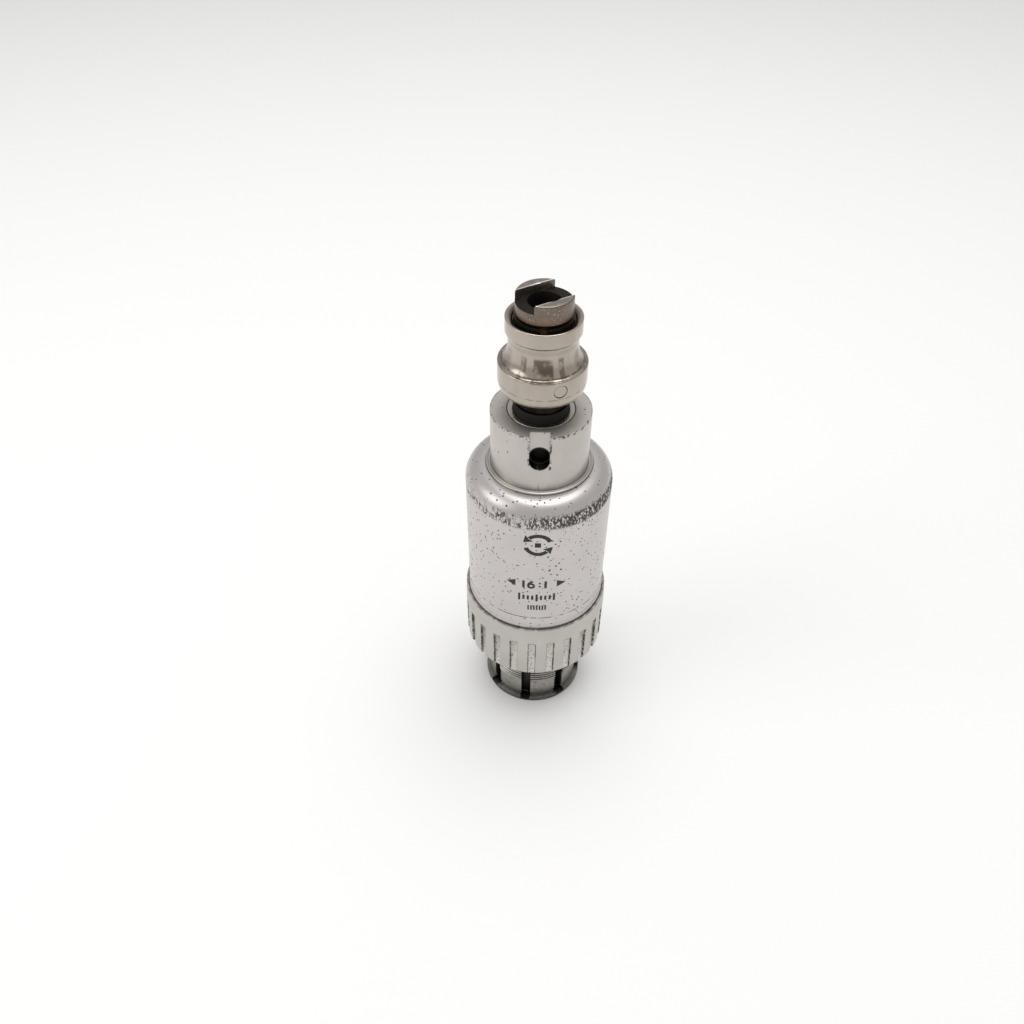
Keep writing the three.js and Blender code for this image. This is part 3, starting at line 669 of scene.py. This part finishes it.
def print_finish():
    """Black print, thinned and chipped."""
    f = Finish("worn_black_print", 0.0, IOR=1.45)
    grain = f.noise(0.3, 3.0)
    chips = f.step(f.noise(0.6, 3.0), 0.66, 0.72)
    colour = f.mix(grain, (0.008, 0.007, 0.007), (0.03, 0.027, 0.025))
    colour = f.mix(chips * 0.7, colour, (0.30, 0.28, 0.27))
    return f.done(colour, 0.45 + grain * 0.2, grain, 0.006)


def inner_finish(name, light, dark, rough, turning):
    """Plain machined steel for the pieces inside, with turning marks and an oily variation."""
    f = Finish(name)
    cloud = f.noise(3, 3.0)
    marks = f.noise(0.25, 3.0, (turning, turning, 0.6))
    colour = f.mix(cloud, dark, light)
    return f.done(colour, rough + cloud * 0.12, marks, 0.01)


FINISHES = {
    "case": case_finish(),
    "nose": nose_finish(),
    "nut": nut_finish(),
    "collar": collar_finish(),
    "shaft": shaft_finish(),
    "sleeve": sleeve_finish(),
    "bush": bush_finish(),
    "seal": seal_finish(),
    "print": print_finish(),
    "gear": inner_finish("cut_gear_steel", (0.36, 0.365, 0.375), (0.24, 0.245, 0.255), 0.28, 1),
    "ground": inner_finish("ground_bearing_steel", (0.62, 0.63, 0.645), (0.48, 0.49, 0.50), 0.12, 12),
    "turned": inner_finish("turned_steel", (0.54, 0.52, 0.49), (0.40, 0.38, 0.355), 0.24, 14),
    "black": inner_finish("black_oxide_steel", (0.07, 0.066, 0.062), (0.03, 0.028, 0.026), 0.38, 10),
}


def dress(piece, finish):
    piece.data.materials.clear()
    piece.data.materials.append(FINISHES[finish])


def fit(piece, finish, body, slot, *nodes):
    """Gives a piece its finish and its body, and hides the CAD nodes that it stands for. The slot argument is
    not used.
    """
    dress(piece, finish)
    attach(piece, body)
    if nodes:
        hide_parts(*nodes)


# ================= Pieces =================

SLOT_RING = slots_round()
THREAD_TREE = screw_thread()


def make_case():
    inner, mouth, mouth_foot = CASE_R - CASE_WALL, CASE_MOUTH["r"], CASE_MOUTH["foot"]
    shoulder = arc(CASE_R - SHOULDER_R, CASE_TOP - SHOULDER_R, SHOULDER_R, SHOULDER_R, 0, 90, 24)
    band, band_top = CASE_R + CASE_BAND["swell"], NUT_TOP + CASE_BAND["above_nut"]
    outline = [(inner, CASE_FOOT), (band, CASE_FOOT), (band, band_top),
               (CASE_R, band_top + CASE_BAND["taper"]),
               (CASE_R, SCRIBE_Z - 0.09), (CASE_R - 0.06, SCRIBE_Z),
               (CASE_R, SCRIBE_Z + 0.09), *shoulder, (mouth, CASE_TOP), (mouth, mouth_foot),
               (inner, mouth_foot)]
    fit(turned("case", eased(outline, 0.1), 192), "case", "housing", "case_steel", "case_shell")


def make_sleeve():
    wide = radius("coupling_sleeve")
    foot = SLEEVE_FOOT + FOOT_RING
    web = SLEEVE_WEB
    outline = [(SLEEVE_BORE, foot + SEAT), (LIP_R, foot + SEAT), (LIP_R, LIP_TOP),
               (LIP_GROOVE["r"], LIP_TOP), (LIP_GROOVE["r"], LIP_GROOVE["top"]),
               (SLEEVE_R, LIP_GROOVE["top"]), (SLEEVE_R, CASE_FOOT), (wide, CASE_FOOT), (wide, SLEEVE_TOP),
               (web["r"], SLEEVE_TOP), (web["r"], web["top"]), (web["bore"], web["top"]),
               (web["bore"], web["foot"]), (SLEEVE_BORE, SOCKET_TOP)]
    slits = dict(Count=SLITS["count"], Width=SLITS["width"] * MM, Reach=6 * MM, Middle=11.5 * MM,
                 Foot=-1 * MM, Top=SLITS["top"] * MM, Turn=radians(SLITS["turn"]),
                 Material=FINISHES["sleeve"])
    sleeve = SLOT_RING.use(turned("slotted_sleeve", eased(outline, 0.12), 160), **slits)
    fit(edged(sleeve, 0.07), "sleeve", "housing", "black_steel", "coupling_sleeve")
    rise = THREAD["top"] - THREAD["foot"]
    thread = THREAD_TREE.use(block("sleeve_thread", (1, 1, 1), (0, 0, 0)), Radius=SLEEVE_R * MM,
                             Foot=THREAD["foot"] * MM, Rise=rise * MM, Turns=rise / THREAD["pitch"],
                             Ridge=THREAD["ridge"] * MM, Material=FINISHES["sleeve"])
    thread = SLOT_RING.use(thread, **slits)
    fit(thread, "sleeve", "housing", "black_steel")
    outline = [(SLEEVE_BORE, SLEEVE_FOOT), (LIP_R, SLEEVE_FOOT), (LIP_R, foot), (SLEEVE_BORE, foot)]
    fit(turned("sleeve_foot_ring", eased(outline, 0.08), 144), "sleeve", "housing", "black_steel")


def make_liner():
    outer = SLEEVE_BORE - SEAT
    inner = outer - LINER_WALL
    outline = [(inner, LINER_FOOT), (outer, LINER_FOOT), (outer, LINER_TOP), (inner, LINER_TOP)]
    # painted shade: a thin black lining inside the socket, so the interior seen through the slits is dark
    fit(turned("black_shade_liner", eased(outline, 0.05), 144), "black", "housing", "black_steel", "socket_liner")


def make_nut():
    bore, skirt, land = NUT["bore"], CASE_R + SKIRT_GAP, NUT["land"]
    groove = NUT_GROOVE
    outline = [(bore, NUT_FOOT), (land - 1.5, NUT_FOOT), (land, NUT_FOOT + 1.7),
               (land, NUT["band_foot"] - 0.5), (NUT["band"], NUT["band_foot"]), (NUT["band"], NUT_TOP),
               (skirt, NUT_TOP),
               (skirt, NUT["skirt"]), (bore, NUT["skirt"]), (bore, groove["top"]),
               (groove["r"], groove["top"]), (groove["r"], groove["foot"]), (bore, groove["foot"])]
    depth = FLUTES["depth"]
    nut = SLOT_RING.use(turned("fluted_nut", eased(outline, 0.2), 192), Count=FLUTES["count"],
                        Width=FLUTES["width"] * MM, Reach=2 * depth * MM, Middle=land * MM,
                        Foot=(NUT_FOOT - 1) * MM, Top=FLUTES["top"] * MM, Turn=radians(FLUTES["turn"]),
                        Material=FINISHES["nut"])
    fit(edged(nut, 0.1), "nut", "nut", "nut_steel", "coupling_nut")


def make_nose():
    flange = CASE_R - CASE_WALL - SEAT
    bush = BUSH_R + SEAT
    top, step_r, step_top = NOSE_FLANGE["top"], NOSE_FLANGE["step_r"], NOSE_FLANGE["step_top"]
    outline = [(NOSE_BORE, NOSE_FOOT), (flange, NOSE_FOOT), (flange, top), (step_r, top), (step_r, step_top),
               (NOSE_R, step_top), (NOSE_R, NOSE_TOP), (bush, NOSE_TOP), (bush, BUSH_SEAT),
               (NOSE_BORE, BUSH_SEAT)]
    width, depth = KEYWAY["width"], KEYWAY["depth"]
    end_z = KEYWAY["foot"] + width / 2
    floor = NOSE_R - depth
    tall = NOSE_TOP + 1 - end_z
    nose = cut(turned("nose", eased(outline, 0.22), 176),
               block("c1", (width, depth * 2, tall), (0, -floor - depth, end_z + tall / 2)),
               bar("c2", width / 2, depth * 2, end_z, 0, floor + depth),
               bar("c3", KEYWAY["hole_r"], KEYWAY["hole_depth"], end_z, 0, floor))
    fit(edged(nose, 0.07), "nose", "housing", "case_steel", "nose_housing")
    ring, line = LOCK_TOP, LOCK_RING["line_r"]
    outline = [(NOSE_R + SEAT, LOCK_FOOT), (LOCK_RING["r"], LOCK_FOOT), (LOCK_RING["r"], ring - 0.15),
               (LOCK_RING["chamfer_r"], ring), (line + 0.07, ring), (line, ring - 0.1), (line - 0.07, ring),
               (NOSE_R + SEAT, ring)]
    fit(turned("nose_ring", eased(outline, 0.06), 176), "nose", "housing", "case_steel", "nose_lock_ring")
    outline = [(BUSH_BORE, BUSH_FOOT), (BUSH_R - 0.06, BUSH_FOOT), (BUSH_R - 0.06, BUSH_TOP),
               (BUSH_BORE, BUSH_TOP)]
    fit(turned("bush", eased(outline, 0.15), 144), "bush", "housing", "bright_steel", "nose_bush")


def make_seal():
    inner, outer = SHAFT_R + RUN, BUSH_BORE - SEAT
    outline = [(inner, SEAL_FOOT), (outer, SEAL_FOOT), (outer, SEAL_TOP - 0.5), (outer - 0.2, SEAL_TOP),
               (inner, SEAL_TOP)]
    fit(turned("seal", eased(outline, 0.1), 128), "seal", "housing", "seal_rubber", "wiper_seal")


def make_shaft():
    tail, tail_top = SHAFT_TAIL["r"], SHAFT_TAIL["top"]
    groove_r, groove_foot, groove_top = SNAP_GROOVE["r"], SNAP_GROOVE["foot"], SNAP_GROOVE["top"]
    outline = [(0, SHAFT_FOOT), (tail, SHAFT_FOOT), (tail, tail_top), (SHAFT_R, tail_top),
               (SHAFT_R, groove_foot), (groove_r, groove_foot), (groove_r, groove_top), (SHAFT_R, groove_top),
               (TIP_R, groove_top + 0.5), (TIP_R, SHAFT_TOP - 0.25), (TIP_R - 0.25, SHAFT_TOP),
               (TOOL_BORE + 0.3, SHAFT_TOP),
               (TOOL_BORE, SHAFT_TOP - 0.3), (TOOL_BORE, TOOL_BORE_FOOT), (0, TOOL_BORE_FOOT)]
    depth = DRIVE_SLOT["depth"]
    width = (PIN_R + RUN) * 2
    low = PIN_Z - COLLAR_TRAVEL
    shaft = cut(turned("shaft", eased(outline, 0.1), 144),
                block("c1", (16, DRIVE_SLOT["half"] * 2, depth + 1), (0, 0, SHAFT_TOP - depth / 2 + 0.5),
                      DRIVE_SLOT["turn"]),
                block("c2", (width, 16, COLLAR_TRAVEL), (0, 0, (low + PIN_Z) / 2), PIN_TURN),
                bar("c3", width / 2, 16, low, PIN_TURN),
                bar("c4", width / 2, 16, PIN_Z, PIN_TURN),
                bar("c5", BALL_HOLE_R, 16, BALL_Z, PIN_TURN + 90))
    fit(edged(shaft, 0.09), "shaft", "output", "shaft_steel", "output_shaft")


def make_collar():
    flange, waist, top = COLLAR_R, COLLAR["waist"], COLLAR["top_r"]
    bore, mouth = SHAFT_R + RUN, COLLAR_MOUTH
    low, mid, high = COLLAR["flange_top"], COLLAR["waist_z"], COLLAR["band_foot"]
    hollow = arc(flange - 0.15, mid, waist - flange + 0.15, low - mid, 90, 0, 20)
    swell = arc(top, mid, waist - top, high - mid, 8, 90, 12)
    foot = arc(COLLAR["foot_r"], COLLAR["flange_foot"], flange - COLLAR["foot_r"],
               COLLAR["flange_foot"] - COLLAR_FOOT, -90, 0, 10)
    outline = [(bore, COLLAR_FOOT), *foot, (flange, low - 0.15), *hollow, *swell,
               (top, COLLAR_TOP - 0.1), (top - 0.25, COLLAR_TOP), (mouth["r"], COLLAR_TOP - 0.4),
               (mouth["ledge_r"], mouth["ledge_top"]), (mouth["ledge_r"], mouth["ledge"]),
               (bore, mouth["ledge"]), (bore, mouth["cone_top"]), (mouth["cone_r"], mouth["cone_foot"]),
               (bore, BALL_Z)]
    collar = cut(turned("collar", eased(outline, 0.12), 176), bar("c1", PIN_R + 0.05, 30, PIN_Z, PIN_TURN))
    fit(collar, "collar", "collar", "bright_steel", "release_collar")
    pin = bar("collar_pin", PIN_R - 0.02, (flange - 0.1) * 2, PIN_Z, PIN_TURN, rim=0.1)
    fit(pin, "collar", "collar", "bright_steel", "cross_pin")


# ================= Print on the case =================


def wrapped(bm, lower, upper):
    """A thin solid strip on the case between two outlines of (distance round, height) points."""
    rows = []
    for r in (CASE_R - 0.02, PRINT_R):
        for line in (lower, upper):
            points = [(r * sin(u / CASE_R), -r * cos(u / CASE_R), z) for u, z in line]
            rows.append([bm.verts.new(p) for p in points])
    in_low, in_up, out_low, out_up = rows
    for i in range(len(lower) - 1):
        for one, two in ((out_low, out_up), (in_up, in_low), (in_low, out_low), (out_up, in_up)):
            bm.faces.new((one[i], one[i + 1], two[i + 1], two[i]))
    for i in (0, -1):
        bm.faces.new((in_low[i], out_low[i], out_up[i], in_up[i]))


def box_mark(bm, u, z, width, height):
    steps = max(2, int(width / 0.5))
    across = [u - width / 2 + width * i / steps for i in range(steps + 1)]
    wrapped(bm, [(x, z - height / 2) for x in across], [(x, z + height / 2) for x in across])


def arc_mark(bm, u, z, r, thick, start, end, steps=24):
    angles = [radians(start + (end - start) * i / steps) for i in range(steps + 1)]
    inner, outer = r - thick / 2, r + thick / 2
    wrapped(bm, [(u + inner * cos(a), z + inner * sin(a)) for a in angles],
            [(u + outer * cos(a), z + outer * sin(a)) for a in angles])


def arrow_head(bm, u, z, length, width, direction):
    """A flat triangle that points along a direction in degrees."""
    a = radians(direction)
    steps = 5
    lower, upper = [], []
    for i in range(steps + 1):
        along, half = length * i / steps, width / 2 * (1 - 0.94 * i / steps)
        centre = (u + along * cos(a), z + along * sin(a))
        lower.append((centre[0] + half * sin(a), centre[1] - half * cos(a)))
        upper.append((centre[0] - half * sin(a), centre[1] + half * cos(a)))
    wrapped(bm, lower, upper)


SIGN = {"u": 0.3, "z": 62.0, "r": 2.7, "stroke": 0.95, "sweep": 115, "arrow": (1.7, 2.3), "hub": 1.3}
RATIO = {"u": 0.2, "z": 49.6, "tall": 2.3, "stroke": 0.55, "first_u": -2.6, "bowl_u": -0.9, "bowl_r": 0.62,
         "bowl_lift": 0.75, "stem_u": -0.05, "stem_r": 1.47, "dots_u": 1.0, "dots_dz": (-0.55, 0.45),
         "dot": 0.45, "last_u": 2.3, "reach": 4.6, "arrow": (2.0, 2.1)}
TICK_ROWS = (
    {"u": 0.4, "z": 45.3, "pitch": 0.98, "width": 0.5, "each_side": 4,
     "long_every": 4, "tall": 2.3, "short": 1.4},
    {"u": 0.5, "z": 41.9, "pitch": 0.64, "width": 0.38, "each_side": 3,
     "long_every": 1, "tall": 1.5, "short": 1.5},
)


def make_print():
    """A turning-direction sign, the ratio of the gears, and two rows of setting ticks."""
    bm = bmesh.new()
    sign, sweep = SIGN, SIGN["sweep"]
    for start in (20, 200):
        arc_mark(bm, sign["u"], sign["z"], sign["r"], sign["stroke"], start, start + sweep)
        tip = radians(start + sweep)
        arrow_head(bm, sign["u"] + sign["r"] * cos(tip), sign["z"] + sign["r"] * sin(tip),
                   *sign["arrow"], start + sweep + 90)
    box_mark(bm, sign["u"], sign["z"], sign["hub"], sign["hub"])
    ratio_z, tall, stroke = RATIO["z"], RATIO["tall"], RATIO["stroke"]
    bowl_z = ratio_z - tall / 2 + RATIO["bowl_lift"]
    box_mark(bm, RATIO["first_u"], ratio_z, stroke, tall)
    arc_mark(bm, RATIO["bowl_u"], bowl_z, RATIO["bowl_r"], stroke, 0, 359, 28)
    arc_mark(bm, RATIO["stem_u"], bowl_z, RATIO["stem_r"], stroke, 180, 108, 10)
    for dz in RATIO["dots_dz"]:
        box_mark(bm, RATIO["dots_u"], ratio_z + dz, RATIO["dot"], RATIO["dot"])
    box_mark(bm, RATIO["last_u"], ratio_z, stroke, tall)
    for side in (-1, 1):
        arrow_head(bm, RATIO["u"] + side * RATIO["reach"], ratio_z, *RATIO["arrow"], 90 - side * 90)
    for row in TICK_ROWS:
        for i in range(-row["each_side"], row["each_side"] + 1):
            height = row["tall"] if i % row["long_every"] == 0 else row["short"]
            box_mark(bm, row["u"] + i * row["pitch"], row["z"], row["width"], height)
    fit(finished(bm, "case_print"), "print", "housing", "seal_rubber")


# ================= CAD nodes that stay =================


def dress_inner_nodes():
    """Gives every CAD node that stays in view or inside a finish of its own kind."""
    kinds = {"gear": "gear", "race": "ground", "cage": "ground", "ball": "ground", "snap_ring": "black",
             "input_coupling": "black", "slip_ring": "seal", "input_shaft": "shaft", "plunger": "turned",
             "spring": "turned", "pin": "turned", "plate": "turned", "spacer": "turned", "retainer": "turned"}
    for name, node in frame["nodes"].items():
        kind = next((v for k, v in kinds.items() if k in name), "turned")
        dress(node, kind)


# ================= Camera, light and floor =================


CAMERA = {"place": (0, -0.1404, 0.1894), "yaw": -2.38, "pitch": 43.46, "roll": 0.29, "lens": 29.8828125}


def make_camera():
    """The camera stands in front and above, and leans a little to the left."""
    yaw, pitch, roll = (radians(CAMERA[key]) for key in ("yaw", "pitch", "roll"))
    ahead = Vector((sin(yaw) * cos(pitch), cos(yaw) * cos(pitch), -sin(pitch)))
    level = Vector((cos(yaw), -sin(yaw), 0))
    upright = level.cross(ahead)
    right = level * cos(roll) + upright * sin(roll)
    up = upright * cos(roll) - level * sin(roll)
    data = bpy.data.cameras.new("camera")
    data.sensor_width = 36.0
    data.lens = CAMERA["lens"]
    data.clip_start, data.clip_end = 0.01, 20.0
    camera = bpy.data.objects.new("camera", data)
    turn = Matrix((right, up, -ahead)).transposed().to_4x4()
    camera.matrix_world = Matrix.Translation(CAMERA["place"]) @ turn
    bpy.context.scene.collection.objects.link(camera)
    bpy.context.scene.camera = camera


def area_light(name, place, target, size, watts, colour=(1, 1, 1)):
    data = bpy.data.lights.new(name, "AREA")
    data.shape = "DISK"
    data.size, data.energy, data.color = size, watts, colour
    light = bpy.data.objects.new(name, data)
    aim = (Vector(target) - Vector(place)).to_track_quat("-Z", "Y").to_matrix().to_4x4()
    light.matrix_world = Matrix.Translation(place) @ aim
    bpy.context.scene.collection.objects.link(light)


def make_studio():
    bpy.ops.mesh.primitive_plane_add(size=8.0, location=(0, 0, -0.00005))
    floor = bpy.context.object
    floor.name = "floor"
    material = bpy.data.materials.new("white_table")
    material.use_nodes = True
    shader = material.node_tree.nodes["Principled BSDF"]
    shader.inputs["Base Color"].default_value = (0.93, 0.93, 0.925, 1)
    shader.inputs["Roughness"].default_value = 0.7
    shader.inputs["Specular IOR Level"].default_value = 0.2
    floor.data.materials.append(material)
    world = bpy.data.worlds.new("studio")
    bpy.context.scene.world = world
    world.use_nodes = True
    world.node_tree.nodes["Background"].inputs["Color"].default_value = (1.0, 0.995, 0.985, 1)
    world.node_tree.nodes["Background"].inputs["Strength"].default_value = 0.62
    area_light("overhead", (0.05, 0.12, 0.9), (0, 0, 0.05), 0.7, 3.6)
    area_light("left_window", (-0.75, -0.25, 0.55), (0, 0, 0.06), 0.6, 1.6, (1.0, 0.99, 0.97))
    bpy.context.scene.view_settings.view_transform = "Standard"


make_camera()
make_studio()
dress_inner_nodes()
make_case()
make_sleeve()
make_liner()
make_nut()
make_nose()
make_seal()
make_shaft()
make_collar()
make_print()
